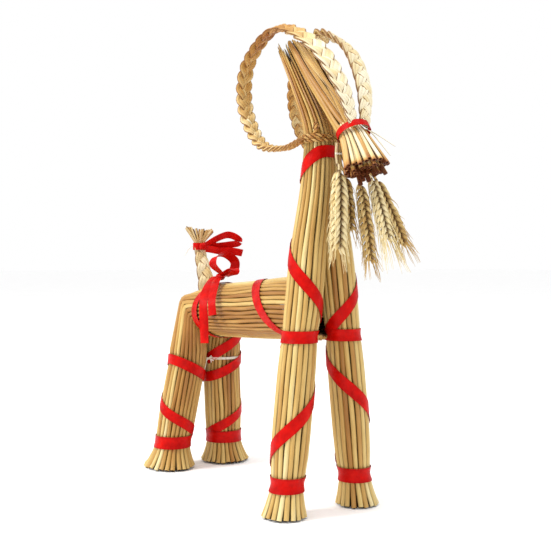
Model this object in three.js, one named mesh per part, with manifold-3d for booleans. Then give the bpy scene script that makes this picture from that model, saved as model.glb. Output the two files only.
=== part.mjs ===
// A straw yule goat, about 40 cm tall: bundles of straw bound with twine and red ribbon, two plaited horns
// that loop back to the neck, a plaited tail and a beard of wheat ears.
// Millimetres. +X is the way the goat faces, +Y is its left, +Z is up, and the floor is z = 0.
// On a bundle, an angle of 0 is its front (or top), 90 degrees its outer side and 180 its back (or bottom).
import * as THREE from "three";
import Module from "manifold-3d";
import { mergeVertices } from "three/addons/utils/BufferGeometryUtils.js";

const wasm = await Module();
wasm.setup();

// ---- driving dimensions ----
const FLUTE = 0.8; // depth of the grooves between neighbouring straws
const GAP = 0.45; // clearance under whatever is wound round a bundle
const TWINE = 0.7; // thickness of a binding of twine
const RIBBON = 9; // width of the ribbon
const SLIM_RIBBON = 7.5; // where the ribbon is drawn in near the knot
const TAIL_RIBBON = 6.8;
const MUZZLE_RIBBON = 5;
const ANKLE_RIBBON = 12; // width that two overlapping turns cover
const CLOTH = 0.5; // thickness of the ribbon
const WOUND_GAP = 0.7; // the same under ribbon that is wound aslant
const MID_GAP = 0.15; // half the gap between a left bundle and its right twin
const OVER_TWINE = TWINE + GAP; // how much further out a ribbon's middle lies where it covers twine
const TURN_STEPS = 20; // flat sides of anything wound once round a bundle
const BODY_STEPS = 32; // the same round the body

const FORE_X = 80; // the plane of the fore legs and neck
const NECK_Z = 283; // height of the neck ribbon
const LASHING_Z = 301; // where the horn ends are lashed to the neck
const ANKLE_Z = 27;
const KNEE_Z = 143;
const HIND_TIE_Z = 108;

// Each fore bundle runs from a foot up to the crown: height, axis x and y, then radius along x and along y.
const FORE = [
  [0, FORE_X, 37, 19, 19],
  [20, FORE_X, 34.6, 13.7, 13.7],
  [ANKLE_Z, FORE_X, 33.7, 11.8, 11.8],
  [34, FORE_X, 32.9, 13.7, 13.7],
  [70, FORE_X, 29.6, 15.7, 15.7],
  [110, FORE_X, 25.4, 15.6, 15.6],
  [136, FORE_X, 22.6, 14.6, 14.6],
  [KNEE_Z, FORE_X, 21.9, 13, 13],
  [150, FORE_X, 20.8, 14.7, 14.7],
  [170, FORE_X, 18, 15.5, 15.5],
  [193, FORE_X, 15.4, 15.5, 15.5],
  [213, FORE_X, 13.2, 14.8, 14.8],
  [240, FORE_X, 9, 13.8, 13.8],
  [262, FORE_X, 6, 12.9, 12.9],
  [NECK_Z, FORE_X, 4.6, 12, 12],
  [LASHING_Z, FORE_X, 4.3, 11.3, 11.3],
  [312, 77.5, 4.4, 10.5, 11],
  [345, 60, 5, 7.6, 10],
  [384, 35, 5.5, 5, 8.5],
];
const FORE_STRAWS = 19; // straws round one fore bundle

// Each rear bundle is half of the round body, then bends down over the rump into one hind leg:
// axis x, y, z, tilt of the section in degrees (0 upright, 90 level), radius in the tilt plane and across,
// and how far the section is a half round (1) or a full one (0).
const REAR = [
  [76, 0, 164.5, 0, 26.4, 26.4, 1],
  [40, 0, 163.5, 0, 27, 27, 1],
  [0, 0, 161, 0, 26.5, 26.5, 1],
  [-45, 0, 158.5, 0, 25.8, 25.8, 1],
  [-93, 0, 156.5, 0, 25.5, 25.5, 1],
  [-109, 8, 156.5, 24, 26, 22, 0.7],
  [-115.5, 14, 152, 48, 23.5, 20, 0.35],
  [-114.5, 17.5, 139.5, 70, 19.8, 18.8, 0.1],
  [-112.8, 19.2, 127, 90, 18.3, 18.4, 0],
  [-115, 20.4, HIND_TIE_Z, 90, 17.6, 17.6, 0],
  [-118, 22, 92, 90, 18.4, 18.4, 0],
  [-123, 25, 60, 90, 18.6, 18.6, 0],
  [-126.7, 27.7, 35, 90, 17.8, 17.8, 0],
  [-128, 28.8, ANKLE_Z, 90, 16.8, 16.8, 0],
  [-128.6, 29.5, 19, 90, 18, 18, 0],
  [-129, 31, 0, 90, 25, 25, 0],
];
const REAR_STRAWS = 26; // straws round one rear bundle
const ROUND_SHARE = 0.76; // share of a half-round section's straws that lie on its curved side

// The head bundle runs from the cut ends of the muzzle up through its tie to the crown: x, z, tilt of the
// section, radius in the tilt plane and across.
const HEAD = [
  [136.5, 273.7, 29, 16.5, 16.5],
  [129, 286.5, 31, 12.6, 12.8],
  [118.2, 300.8, 33, 7.2, 9],
  [110, 309.5, 41, 7.2, 9.5],
  [95, 327, 41, 6.4, 10.5],
  [72, 354, 41, 5.4, 11.5],
  [50, 381, 41, 4, 11],
];
const HEAD_STRAWS = 14;
const MUZZLE_TIE = [121.5, 303, 31]; // centre x and z of the muzzle ribbon, and its tilt in degrees
const MUZZLE_FLATNESS = 0.965; // the ribbon's radius in the tilt plane, as a share of the one across
const MUZZLE_TIE_R = 15.2; // radius of the ribbon round the head bundle and both horn roots

// A horn's plait, from its root in the muzzle tie over the head and back to the side of the neck.
const HORN = [
  [128.2, 5.6, 304.8],
  [119, 11.5, 340],
  [92, 17.5, 375],
  [48, 22.5, 395],
  [10, 26, 374],
  [4, 26.5, 338],
  [26, 25, 303],
  [60, 24.2, 295],
  [84, 24, 299],
];
const HORN_WIDTH = [9, 15.5, 19.5, 17, 14.5, 14, 12, 8.8, 6.4]; // at the same places
const HORN_LEAN = 0.45; // how much a plait's outer edge hangs at the top of the loop
const HORN_THICK = 5.4;
const HORN_STEPS = 34;

const TAIL = [
  [-113, 184.6, 9, 3.2],
  [-116, 191, 7.6, 3.6],
  [-121, 203, 6.6, 3.4],
  [-126, 216, 5.8, 3],
]; // plait: axis x and z, half width across, half thickness
const TUFT = [
  [-127.3, 221, 5.2, 3.4],
  [-127.5, 225.5, 7.5, 3.6],
  [-126, 237, 17, 3.8],
]; // the tail's cut tips, fanned out above its tie

// Wheat ears of the beard: stalk top, neck of the ear, tip of the ear, and the ear's largest radius.
const EARS = [
  { stalk: [107.5, -6.4, 290], neck: [118, -11.5, 271], tip: [120, -13.5, 207], r: 6.2 },
  { stalk: [107.5, -3.2, 290], neck: [112.5, -1, 268], tip: [116, 1.5, 222], r: 4.2 },
  { stalk: [107.5, 0, 290], neck: [120.5, 7.5, 262], tip: [132, 9.5, 197], r: 5 },
  { stalk: [107.5, 3.2, 290], neck: [123, 17, 266], tip: [140, 20.5, 215], r: 4.8 },
  { stalk: [107.5, 6.4, 290], neck: [119.5, 25, 266], tip: [142.5, 35, 211], r: 4.9 },
];
const STALK_R = 1.2;
const BEARD_TIE = [107.5, 287.2, 2.1, 8.4, 1]; // centre x and z, half length and width inside, thickness

// Wound ribbons: angle in degrees and place along the bundle at both ends. Left and right differ a little,
// as they do on a hand-made goat.
const CHEST_RIBBON = {
  left: { from: [-60, 152.4], to: [150, 208] },
  right: { from: [-60, 159.3], to: [150, 217] },
};
const FORELEG_RIBBON = {
  left: { from: [-150, 130], to: [190, 43.5] },
  right: { from: [-185, 130], to: [148, 43.5] },
};
const HINDLEG_RIBBON = {
  left: { from: [-35, 39.5], to: [190, 80.5] },
  right: { from: [-35, 39.5], to: [190, 80.5] },
};
const THIGH_RIBBON = { from: [-58, 113.5], to: [8, 122] };
const HIND_TOP_RIBBON = { z: 99, drop: 10 }; // its inner side hangs lower than its outer side
const NECK_RIBBON_RISE = 11; // its front is higher than its back
const NECK_RIBBON_DROP = 3;
const LASHING = { width: 6, thick: 2.4 }; // twisted straw round the neck over the horns' ends
const BODY_RIBBON = { from: [-160, -74], to: [146, 52] };

const BOW = { x: -77, y: -4.5, z: 188.6 }; // the knot on top of the rump
const RUMP_X = -84; // middle of the band round the rump
// Middle lines of the bow's parts, from its knot: x, y, z.
const UPRIGHT_LOOP = [
  [0, 1, 4.2],
  [0, -8, 12],
  [0, -4, 20],
  [0, 6, 21.5],
  [0, 16, 15],
  [1, 14, 6],
  [1.5, 5.4, 2.2],
];
const LYING_LOOP = [
  [7, -1, 0.6],
  [14, -2, 0.8],
  [24, -1, 2.8],
  [27, 1, 6],
  [22, 1, 8.2],
  [13, 0, 5],
  [7, 0, 2.2],
];
const LONG_END = [
  [0, -7, -0.4],
  [6, -14, -4.6],
  [13.5, -23, -13],
  [20, -29.5, -24],
  [24, -31, -41],
  [25, -31, -60],
];
const SHORT_END = [
  [9, -9, -1.4],
  [17, -15, -5.4],
  [26, -22.5, -12.5],
  [34, -28.5, -21.5],
  [38, -30, -34],
];
const TAIL_BOW = { x: -126.8, z: 218.6 };
const TAIL_LOOP = [
  [11.6, 3, 1],
  [16, 12, 8],
  [20, 22, 11.5],
  [23, 31, 8],
  [22, 33, 3.5],
  [18, 22, 1.6],
  [13, 9, -0.4],
];
const TAIL_END = [
  [11.4, 5, -3],
  [16, 15, -4.6],
  [21, 26, -4.8],
  [24, 36, -6.6],
];
const KNEE_ROOM = 2.6; // how far the body's end stays from the fore legs beside the knee ribbon

// ---- maths ----
const rad = THREE.MathUtils.degToRad;
const vec = (x, y, z) => new THREE.Vector3(x, y, z);
const mix = (a, b, t) => a.map((v, i) => v + (b[i] - v) * t);

/** The row of a table at the value at of its column, between its two neighbours. */
function rowAt(table, column, at) {
  const falling = table[0][column] > table[table.length - 1][column];
  const passed = (v) => (falling ? v <= at : v >= at);
  let i = table.findIndex((row) => passed(row[column]));
  i = Math.min(Math.max(i < 0 ? table.length - 1 : i, 1), table.length - 1);
  const [a, b] = [table[i - 1], table[i]];
  return mix(a, b, (at - a[column]) / (b[column] - a[column]));
}

/** A closed body through rings of equal size; looped joins the last ring to the first, else both end flat. */
function skin(rings, looped = false) {
  const n = rings[0].length;
  const points = rings.flat();
  const index = [];
  const spans = looped ? rings.length : rings.length - 1;
  for (let i = 0; i < spans; i++) {
    const next = ((i + 1) % rings.length) * n;
    for (let k = 0; k < n; k++) {
      const l = (k + 1) % n;
      index.push(i * n + k, i * n + l, next + l, i * n + k, next + l, next + k);
    }
  }
  if (!looped) {
    [rings[0], rings[rings.length - 1]].forEach((ring, end) => {
      const centre = ring.reduce((sum, p) => sum.add(p), vec(0, 0, 0)).divideScalar(n);
      const start = end ? (rings.length - 1) * n : 0;
      points.push(centre);
      for (let k = 0; k < n; k++) {
        const [a, b] = [start + k, start + ((k + 1) % n)];
        index.push(...(end ? [a, b, points.length - 1] : [b, a, points.length - 1]));
      }
    });
  }
  const volume = index.reduce((sum, _, i) => {
    if (i % 3) return sum;
    const [a, b, c] = [points[index[i]], points[index[i + 1]], points[index[i + 2]]];
    return sum + a.dot(b.clone().cross(c));
  }, 0);
  if (volume < 0) index.reverse();
  const geometry = new THREE.BufferGeometry().setFromPoints(points);
  geometry.setIndex(index);
  return geometry;
}

/** What is left of one body once another is cut away from it. */
function cut(geometry, tool) {
  const [kept, gone] = [geometry, tool].map((g) => {
    const bare = g.clone();
    bare.deleteAttribute("normal");
    bare.deleteAttribute("uv");
    const merged = mergeVertices(bare, 1e-4);
    return new wasm.Manifold(
      new wasm.Mesh({
        numProp: 3,
        vertProperties: merged.attributes.position.array,
        triVerts: new Uint32Array(merged.index.array),
      }),
    );
  });
  const mesh = kept.subtract(gone).getMesh();
  const made = new THREE.BufferGeometry();
  made.setAttribute("position", new THREE.BufferAttribute(mesh.vertProperties, 3));
  made.setIndex(new THREE.BufferAttribute(mesh.triVerts, 1));
  return made;
}

// ---- surfaces that straws, twine and ribbon follow: (place along, angle, distance out) to a point ----

/** A fore leg, its half of the chest and its half of the neck, by height. */
const foreSurface = (side) => (z, angle, out) => {
  const [, x, y, rx, ry] = rowAt(FORE, 0, z);
  const across = Math.max(MID_GAP, y + (ry + out) * Math.sin(angle));
  return vec(x + (rx + out) * Math.cos(angle), side * across, z);
};

/** Both halves of the neck together, by height. */
function neckSurface(z, angle, out) {
  const [, x, y, rx, ry] = rowAt(FORE, 0, z);
  const shift = y * THREE.MathUtils.clamp(3 * Math.sin(angle), -1, 1);
  return vec(x + (rx + out) * Math.cos(angle), shift + (ry + out) * Math.sin(angle), z);
}

/** One row of the rear bundle and an angle, to a point. */
function rearPoint(side, row, angle, out) {
  const [x, y, z, tilt, r1, r2] = row;
  const along = (r1 + out) * Math.cos(angle);
  const across = Math.max(MID_GAP, y + (r2 + out) * Math.sin(angle));
  return vec(x - along * Math.sin(rad(tilt)), side * across, z + along * Math.cos(rad(tilt)));
}

/** A hind leg below the rump, by height; the top of the body bends down to be the leg's back. */
const hindSurface = (side) => (z, angle, out) => {
  const leg = REAR.filter((row) => row[3] === 90);
  return rearPoint(side, rowAt(leg, 2, z), Math.PI - angle, out);
};

/** The round body in front of the rump, by x; the angle is from the top, positive to the right. */
function bodySurface(x, angle, out) {
  const [, , z, , r] = rowAt(REAR, 0, x);
  return vec(x, -(r + out) * Math.sin(angle), z + (r + out) * Math.cos(angle));
}

// ---- things made on those surfaces ----

/** A strip whose middle follows path(u) = [place, angle] for u from 0 to 1, its middle raised by over. */
function strip(surface, path, options) {
  const { width = RIBBON, inner = GAP, thick = CLOTH, over = 0, steps, looped = false } = options;
  const rings = [];
  const h = 1e-3;
  const count = looped ? steps : steps + 1;
  for (let i = 0; i < count; i++) {
    const u = i / steps;
    const [s, a] = path(u);
    const centre = surface(s, a, inner);
    const along = surface(...path(u + h), inner).sub(surface(...path(u - h), inner)).normalize();
    const byS = surface(s + h, a, inner).sub(centre).divideScalar(h);
    const byA = surface(s, a + h, inner).sub(centre).divideScalar(h);
    const across = byS.clone().cross(byA).cross(along).normalize().multiplyScalar(width / 2);
    // The step in place and angle that moves the point by the vector across.
    const [ss, sa, aa] = [byS.dot(byS), byS.dot(byA), byA.dot(byA)];
    const [ps, pa] = [across.dot(byS), across.dot(byA)];
    const det = ss * aa - sa * sa;
    const ds = (ps * aa - pa * sa) / det;
    const da = (pa * ss - ps * sa) / det;
    const corner = (way, out) => surface(s + way * ds, a + way * da, out);
    rings.push([
      corner(-1, inner),
      corner(0, inner + over),
      corner(1, inner),
      corner(1, inner + thick),
      corner(0, inner + over + thick),
      corner(-1, inner + thick),
    ]);
  }
  return skin(rings, looped);
}

/** A band once round a surface, level apart from the rise(angle). */
const band = (surface, at, options = {}, rise = () => 0) =>
  strip(surface, (u) => [at + rise(u * 2 * Math.PI), u * 2 * Math.PI], {
    steps: TURN_STEPS,
    looped: true,
    ...options,
  });

/** A ribbon wound at an even pitch between two [angle, place] ends. */
const wound = (surface, { from, to }, options = {}) =>
  strip(surface, (u) => [from[1] + (to[1] - from[1]) * u, rad(from[0] + (to[0] - from[0]) * u)], {
    steps: Math.ceil((Math.abs(to[0] - from[0]) / 360) * TURN_STEPS),
    inner: WOUND_GAP,
    ...options,
  });

/** A flat strip along a free path of points, its width along the vector wide. */
function ribbonAlong(points, wide, width = RIBBON) {
  const curve = new THREE.CatmullRomCurve3(points);
  const steps = points.length * 3;
  const rings = [];
  for (let i = 0; i <= steps; i++) {
    const p = curve.getPoint(i / steps);
    const along = curve.getTangent(i / steps);
    const side = wide.clone().addScaledVector(along, -wide.dot(along)).normalize();
    const up = along.clone().cross(side).multiplyScalar(CLOTH / 2);
    side.multiplyScalar(width / 2);
    rings.push([
      p.clone().sub(side).sub(up),
      p.clone().add(side).sub(up),
      p.clone().add(side).add(up),
      p.clone().sub(side).add(up),
    ]);
  }
  return skin(rings);
}

/** A ring with count straws on its outline, from ring(share of the way round, inset of the point). */
const fluted = (count, ring) =>
  Array.from({ length: count * 2 }, (_, k) => ring(k / (count * 2), k % 2 ? FLUTE : 0));

function foreBundle(side) {
  const rings = FORE.map(([z]) =>
    fluted(FORE_STRAWS, (u, inset) => foreSurface(side)(z, u * 2 * Math.PI, -inset)),
  );
  return skin(rings);
}

/** The space that both fore bundles take, with a little clearance, to fit the body against them. */
function foreTool(side) {
  const sides = 24;
  const knee = [KNEE_Z - 10, KNEE_Z - 7, KNEE_Z, KNEE_Z + 5.5].map((z) => [z, KNEE_ROOM]);
  const chest = [KNEE_Z + 7, 170, 193, 213].map((z) => [z, GAP / Math.cos(Math.PI / sides)]);
  const rings = [...knee, ...chest].map(([z, out]) =>
    Array.from({ length: sides }, (_, k) => {
      const [, x, y, rx, ry] = rowAt(FORE, 0, z);
      const angle = (k / sides) * 2 * Math.PI;
      return vec(x + (rx + out) * Math.cos(angle), side * (y + (ry + out) * Math.sin(angle)), z);
    }),
  );
  return skin(rings);
}

function rearBundle(side) {
  const rings = REAR.map((row) =>
    fluted(REAR_STRAWS, (u, inset) => {
      const half = u < ROUND_SHARE ? (u / ROUND_SHARE) * 0.5 : 1 - ((1 - u) / (1 - ROUND_SHARE)) * 0.5;
      const turn = u + (half - u) * row[6];
      return rearPoint(side, row, turn * 2 * Math.PI, -inset);
    }),
  );
  return [side, -side].reduce((body, s) => cut(body, foreTool(s)), skin(rings));
}

function headBundle() {
  const rings = HEAD.map(([x, z, tilt, r1, r2]) =>
    fluted(HEAD_STRAWS, (u, inset) => {
      const a = u * 2 * Math.PI;
      const along = (r1 - inset) * Math.cos(a);
      const [dx, dz] = [along * Math.cos(rad(tilt)), along * Math.sin(rad(tilt))];
      return vec(x + dx, (r2 - inset) * Math.sin(a), z + dz);
    }),
  );
  return skin(rings);
}

function hornPlait(side) {
  const curve = new THREE.CatmullRomCurve3(HORN.map(([x, y, z]) => vec(x, side * y, z)));
  const widths = new THREE.SplineCurve(HORN_WIDTH.map((w, i) => new THREE.Vector2(i, w)));
  const quarter = [[1, 0], [0.8, 0.8], [0, 1], [-0.8, 0.8]];
  const corners = [...quarter, ...quarter.map(([a, b]) => [-a, -b])];
  const rings = [];
  for (let i = 0; i <= HORN_STEPS; i++) {
    const t = i / HORN_STEPS;
    const along = curve.getTangent(t);
    const flat = vec(0, side, -HORN_LEAN * Math.sin(Math.PI * t));
    const wide = flat.addScaledVector(along, -along.dot(flat)).normalize();
    const thick = along.clone().cross(wide);
    const w = widths.getPoint(t).y / 2;
    rings.push(
      corners.map(([a, b]) =>
        curve.getPoint(t).addScaledVector(wide, a * w).addScaledVector(thick, (b * HORN_THICK) / 2),
      ),
    );
  }
  return skin(rings);
}

/** An oval bundle through rows of x, z, half width across and half thickness, with sides straws. */
function ovalStack(rows, sides) {
  return skin(
    rows.map(([x, z, across, thick]) =>
      Array.from({ length: sides }, (_, k) => {
        const a = ((k + 0.5) / sides) * 2 * Math.PI;
        return vec(x + thick * Math.cos(a), across * Math.sin(a), z);
      }),
    ),
  );
}

/** One wheat ear with its stalk. */
function wheatEar({ stalk, neck, tip, r }) {
  const [a, b, c] = [stalk, neck, tip].map((p) => vec(...p));
  const shape = [[0, 1.4], [0.1, 0.62 * r], [0.3, r], [0.55, 0.95 * r], [0.8, 0.7 * r], [1, 0.9]];
  const tied = a.clone().add(vec(0, 0, -5.5));
  const line = [
    [a, STALK_R],
    [tied, STALK_R],
    [tied.clone().lerp(b, 0.5).add(vec(-0.8, 0, 0)), STALK_R],
    ...shape.map(([t, radius]) => [b.clone().lerp(c, t), radius]),
  ];
  const axis = c.clone().sub(a).normalize();
  const wide = vec(0, 1, 0).addScaledVector(axis, -axis.y).normalize();
  const deep = axis.clone().cross(wide);
  return skin(
    line.map(([p, radius]) =>
      Array.from({ length: 8 }, (_, k) => {
        const turn = (k / 8) * 2 * Math.PI;
        return p
          .clone()
          .addScaledVector(wide, radius * Math.cos(turn))
          .addScaledVector(deep, radius * Math.sin(turn));
      }),
    ),
  );
}

/** The thread that ties the beard's stalks side by side: a flat loop, as deep as it is thick. */
function beardTie() {
  const [x, z, length, width, thick] = BEARD_TIE;
  const rings = Array.from({ length: 16 }, (_, k) => {
    const a = ((k + 0.5) / 16) * 2 * Math.PI;
    const at = (out, up) => vec(x + (length + out) * Math.cos(a), (width + out) * Math.sin(a), z + up);
    return [at(0, -thick), at(thick, -thick), at(thick, thick), at(0, thick)];
  });
  return skin(rings, true);
}

/** Twine laid round both hind legs and drawn in between them. */
function hindTwine() {
  const leg = rowAt(REAR.filter((row) => row[3] === 90), 2, HIND_TIE_Z);
  const [x, y, , , r] = leg;
  const half = [];
  for (let angle = -66; angle <= 246; angle += 24) half.push(rad(angle));
  const at = (side, angle) => (out, up) =>
    vec(x + (r + out) * Math.cos(angle), side * (y + (r + out) * Math.sin(angle)), HIND_TIE_Z + up);
  const stations = [
    ...half.map((angle) => at(1, angle)),
    ...half.toReversed().map((angle) => at(-1, angle)),
  ];
  const [low, high] = [2 * GAP, 2 * GAP + TWINE];
  return skin(
    stations.map((s) => [s(low, -TWINE), s(low, TWINE), s(high, TWINE), s(high, -TWINE)]),
    true,
  );
}

/** A small tied knot: an eight-sided ball, longer one way. */
function knot(x, y, z, sx, sy, sz) {
  const bare = new THREE.SphereGeometry(1, 8, 6);
  bare.deleteAttribute("normal");
  bare.deleteAttribute("uv");
  return mergeVertices(bare, 1e-4).scale(sx, sy, sz).translate(x, y, z);
}

/** The ribbon round the muzzle: a level ring, tilted to lie square to the head bundle. */
function muzzleRing(width, inner, thick) {
  const profile = [
    [inner, -width / 2],
    [inner + thick, -width / 2],
    [inner + thick, width / 2],
    [inner, width / 2],
    [inner, -width / 2],
  ].map(([r, h]) => new THREE.Vector2(r, h));
  const bare = new THREE.LatheGeometry(profile, TURN_STEPS);
  bare.deleteAttribute("normal");
  bare.deleteAttribute("uv");
  const [x, z, tilt] = MUZZLE_TIE;
  return mergeVertices(bare, 1e-4)
    .scale(1, 1, MUZZLE_FLATNESS)
    .rotateX(Math.PI / 2)
    .rotateZ(Math.PI / 2)
    .rotateY(-rad(tilt))
    .translate(x, 0, z);
}

// ---- colours and the assembly ----
const straw = new THREE.MeshStandardMaterial({ color: 0xd2ad68, roughness: 0.5, metalness: 0 });
const plaited = new THREE.MeshStandardMaterial({ color: 0xe3cf9c, roughness: 0.6, metalness: 0 });
const wheat = new THREE.MeshStandardMaterial({ color: 0xd0b070, roughness: 0.7, metalness: 0 });
const satin = new THREE.MeshStandardMaterial({ color: 0xd8120c, roughness: 0.35, metalness: 0 });
const thread = new THREE.MeshStandardMaterial({ color: 0xe8e2d2, roughness: 0.8, metalness: 0 });

const goat = new THREE.Group();
function add(name, material, geometry) {
  const mesh = new THREE.Mesh(geometry, material);
  mesh.name = name;
  goat.add(mesh);
}

const twineBand = (surface, at, rise) => band(surface, at, { width: 2 * TWINE, thick: TWINE }, rise);

for (const [name, side] of [["left", 1], ["right", -1]]) {
  const fore = foreSurface(side);
  const hind = hindSurface(side);
  add(`fore_bundle_${name}`, straw, foreBundle(side));
  add(`rear_bundle_${name}`, straw, rearBundle(side));
  add(`horn_plait_${name}`, plaited, hornPlait(side));

  add(`fore_ankle_twine_${name}`, thread, twineBand(fore, ANKLE_Z));
  add(`knee_twine_${name}`, thread, twineBand(fore, KNEE_Z));
  add(`hind_ankle_twine_${name}`, thread, twineBand(hind, ANKLE_Z));

  add(`fore_ankle_ribbon_${name}`, satin, band(fore, ANKLE_Z, { width: ANKLE_RIBBON, over: OVER_TWINE }));
  add(`foreleg_ribbon_${name}`, satin, wound(fore, FORELEG_RIBBON[name]));
  add(`knee_ribbon_${name}`, satin, band(fore, KNEE_Z, { over: OVER_TWINE }));
  add(`chest_ribbon_${name}`, satin, wound(fore, CHEST_RIBBON[name]));
  add(`hind_ankle_ribbon_${name}`, satin, band(hind, ANKLE_Z, { width: ANKLE_RIBBON, over: OVER_TWINE }));
  add(`hindleg_ribbon_${name}`, satin, wound(hind, HINDLEG_RIBBON[name]));
  const tilted = (angle) => HIND_TOP_RIBBON.drop * Math.sin(angle);
  const overThread = { inner: 3 * GAP + TWINE };
  add(`hind_top_ribbon_${name}`, satin, band(hind, HIND_TOP_RIBBON.z, overThread, tilted));
}
add("thigh_ribbon", satin, wound(hindSurface(1), THIGH_RIBBON));
add("hind_twine", thread, hindTwine());

add("head_bundle", straw, headBundle());
add("muzzle_ribbon", satin, muzzleRing(MUZZLE_RIBBON, MUZZLE_TIE_R, CLOTH));
add("neck_twine", thread, twineBand(neckSurface, LASHING_Z));
const overTwine = { width: LASHING.width, inner: GAP + TWINE + GAP, thick: LASHING.thick };
add("horn_lashing", plaited, band(neckSurface, LASHING_Z, overTwine));
const neckRise = (angle) => NECK_RIBBON_RISE * Math.cos(angle) - NECK_RIBBON_DROP;
add("neck_ribbon", satin, band(neckSurface, NECK_Z, { inner: WOUND_GAP }, neckRise));

add("tail_plait", plaited, ovalStack(TAIL, 10));
add("tail_tuft", plaited, ovalStack(TUFT, 12));
EARS.forEach((ear, i) => add(`wheat_ear_${i + 1}`, wheat, wheatEar(ear)));
add("beard_tie", thread, beardTie());

// ---- body ribbon, rump band and their bow ----
const rumpX = (angle) => RUMP_X + 6 * Math.cos(angle) + 2 * Math.cos(2 * angle);
const rumpBand = { inner: WOUND_GAP, steps: BODY_STEPS };
const rumpTwine = { ...rumpBand, width: 2 * TWINE, thick: TWINE };
add("body_ribbon", satin, wound(bodySurface, BODY_RIBBON, { steps: BODY_STEPS }));
add("rump_twine", thread, band(bodySurface, 0, rumpTwine, rumpX));
add("rump_ribbon", satin, band(bodySurface, 0, { ...rumpBand, over: OVER_TWINE }, rumpX));

const fromBow = (points) => points.map(([dx, dy, dz]) => vec(BOW.x + dx, BOW.y + dy, BOW.z + dz));
const ALONG_BODY = vec(1, 0.1, 0);
const FACING_OUT = vec(0.86, 0.5, 0); // a hanging end is turned a little towards the head
add("bow_knot", satin, knot(BOW.x, BOW.y, BOW.z, 5.2, 4, 3.2));
add("bow_loop_left", satin, ribbonAlong(fromBow(UPRIGHT_LOOP), ALONG_BODY));
add("bow_loop_right", satin, ribbonAlong(fromBow(LYING_LOOP), vec(0.25, 1, 0), SLIM_RIBBON));
add("bow_tail_long", satin, ribbonAlong(fromBow(LONG_END), FACING_OUT));
add("bow_tail_short", satin, ribbonAlong(fromBow(SHORT_END), FACING_OUT, SLIM_RIBBON));

// ---- tail bow ----
const fromTail = (points) => points.map(([dx, dy, dz]) => vec(TAIL_BOW.x + dx, dy, TAIL_BOW.z + dz));
const tieProfile = [[5.9, -1.6], [6.9, -1.6], [6.9, 1.6], [5.9, 1.6], [5.9, -1.6]];
const tailTie = new THREE.LatheGeometry(tieProfile.map((p) => new THREE.Vector2(...p)), TURN_STEPS);
tailTie.rotateX(Math.PI / 2).scale(0.72, 1, 1).translate(TAIL_BOW.x, 0, TAIL_BOW.z);
add("tail_twine", thread, tailTie);
add("tail_bow_knot", satin, knot(TAIL_BOW.x + 8.3, 1, TAIL_BOW.z, 2.8, 4.6, 3.6));
add("tail_bow_loop", satin, ribbonAlong(fromTail(TAIL_LOOP), vec(0.5, -0.2, 1), TAIL_RIBBON));
add("tail_bow_end", satin, ribbonAlong(fromTail(TAIL_END), vec(0.3, -0.1, 1), TAIL_RIBBON));

export default goat;
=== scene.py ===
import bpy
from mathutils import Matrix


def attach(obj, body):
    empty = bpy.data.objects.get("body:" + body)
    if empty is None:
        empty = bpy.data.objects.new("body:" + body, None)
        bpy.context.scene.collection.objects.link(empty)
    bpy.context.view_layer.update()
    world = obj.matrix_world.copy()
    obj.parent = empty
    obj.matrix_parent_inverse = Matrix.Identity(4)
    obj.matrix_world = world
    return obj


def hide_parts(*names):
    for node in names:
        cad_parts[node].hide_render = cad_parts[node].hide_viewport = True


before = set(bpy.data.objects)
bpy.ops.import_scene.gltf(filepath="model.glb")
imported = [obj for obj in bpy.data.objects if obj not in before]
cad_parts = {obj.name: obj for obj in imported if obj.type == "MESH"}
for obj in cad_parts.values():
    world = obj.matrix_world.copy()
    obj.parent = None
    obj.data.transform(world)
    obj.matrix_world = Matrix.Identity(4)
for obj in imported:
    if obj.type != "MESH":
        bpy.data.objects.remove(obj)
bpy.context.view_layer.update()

# A straw yule goat: tied bundles of straw, plaited horns and tail, a beard of wheat ears, ribbons
# and bows. Shapes are worked out in millimetres in the frame's axes (+X the way the goat faces, +Y
# its left, +Z up) and become metres when a piece is made. On a bundle, angle 0 is its front or top
# and 90 degrees its outer side.

import math

import bpy
import numpy as np
from mathutils import Vector

MM = 0.001
TAU = 2 * math.pi
rng = np.random.default_rng(24)

# ---- the bundles, as the frame has them, with the real pinch under each tie ----
FORE_X = 80.0
NECK_Z, LASHING_Z, KNEE_Z, ANKLE_Z = 283.0, 301.0, 143.0, 27.0
HIND_TIE_Z, HIND_TOP_Z = 108.0, 99.0  # the thread between the hind legs, and their top ribbons
HIND_TOP_DROP = 10.0
STRAW_R = 2.15
BORE_DEPTH, BORE_SHARE = 5.0, 0.68  # the hole in a cut end: its depth, and its share of the width
DARK_END_LENGTH = 2.2

# height, axis x and y, radius along x and along y
FORE = np.array([
    [0, FORE_X, 37, 19, 19],
    [8, FORE_X, 36, 16.6, 16.6],
    [20, FORE_X, 34.6, 13.8, 13.8],
    [ANKLE_Z, FORE_X, 33.7, 12.4, 12.4],
    [34, FORE_X, 32.9, 13.9, 13.9],
    [50, FORE_X, 31.4, 15.1, 15.1],
    [70, FORE_X, 29.6, 15.7, 15.7],
    [110, FORE_X, 25.4, 15.6, 15.6],
    [135, FORE_X, 22.7, 14.8, 14.8],
    [KNEE_Z, FORE_X, 21.9, 13.5, 13.5],
    [151, FORE_X, 20.7, 14.8, 14.8],
    [170, FORE_X, 18, 15.5, 15.5],
    [193, FORE_X, 15.4, 15.5, 15.5],
    [213, FORE_X, 13.2, 14.8, 14.8],
    [240, FORE_X, 9, 13.8, 13.8],
    [262, FORE_X, 6, 12.9, 12.9],
    [NECK_Z, FORE_X, 4.6, 12, 12],
    [LASHING_Z, FORE_X, 4.3, 11, 11],
    [312, 77.5, 4.4, 10.4, 11],
    [345, 60, 5, 7.6, 10],
    [388, 32.5, 5.5, 4.6, 8.4],
])
FORE_TIES = (ANKLE_Z, KNEE_Z, LASHING_Z)
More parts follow.
